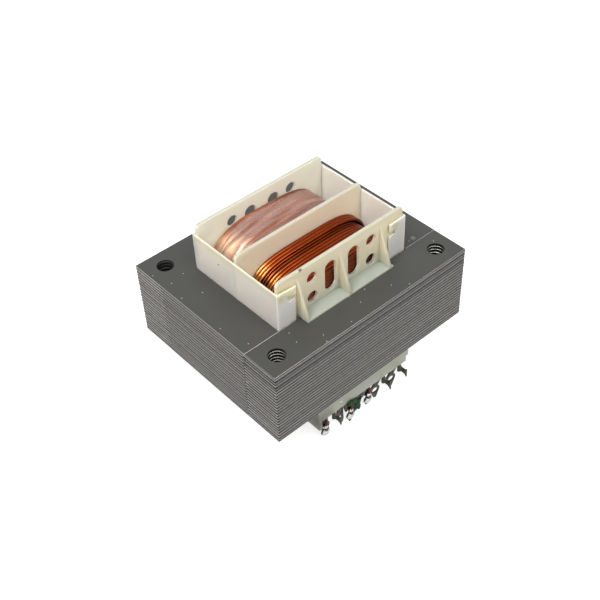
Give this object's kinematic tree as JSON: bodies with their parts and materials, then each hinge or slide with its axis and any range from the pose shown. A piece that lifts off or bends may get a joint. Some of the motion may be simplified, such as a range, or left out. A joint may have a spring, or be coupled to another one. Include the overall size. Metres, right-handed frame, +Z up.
{
  "type": "mains transformer",
  "caption": "Open-frame mains transformer: laminated EI core with corner bolt holes, two-chamber nylon bobbin, copper windings side by side, solder tags underneath.",
  "frame": {"origin": "under the middle of the core, on the surface that the tips of the solder tags stand on", "axes": "+X along the core, the length of 66 mm; +Y from the secondary side (front) to the primary side (rear); +Z up, along the bolt holes"},
  "size_m": [0.066, 0.055, 0.0531],
  "materials": {
    "core_steel": "stamped silicon steel sheets, dark oxide and varnish, bare cut edges",
    "nylon": "moulded natural nylon, cream and slightly translucent",
    "shroud_plastic": "moulded natural nylon, thin wall",
    "secondary_copper": "thick copper wire with glossy orange-brown enamel",
    "primary_copper": "fine copper wire with pale enamel, wound smooth",
    "clear_film": "clear glossy insulating film",
    "green_sleeve": "soft green insulating tube",
    "tinned_tags": "stamped brass strip, tinned and dulled"
  },
  "bodies": {
    "root": {"e_laminations_rear_yoke": "core_steel", "e_laminations_front_yoke": "core_steel", "i_laminations_front": "core_steel", "i_laminations_rear": "core_steel", "bobbin": "nylon", "left_shroud": "shroud_plastic", "right_shroud": "shroud_plastic", "secondary_winding": "secondary_copper", "secondary_lead_1": "secondary_copper", "secondary_lead_2": "secondary_copper", "secondary_lead_3": "secondary_copper", "primary_winding": "primary_copper", "primary_lead_1": "primary_copper", "primary_lead_2": "primary_copper", "primary_film": "clear_film", "green_sleeve": "green_sleeve", "front_tag_1": "tinned_tags", "front_tag_2": "tinned_tags", "front_tag_3": "tinned_tags", "front_tag_4": "tinned_tags", "front_tag_5": "tinned_tags", "rear_tag_1": "tinned_tags", "rear_tag_5": "tinned_tags"}
  },
  "joints": []
}
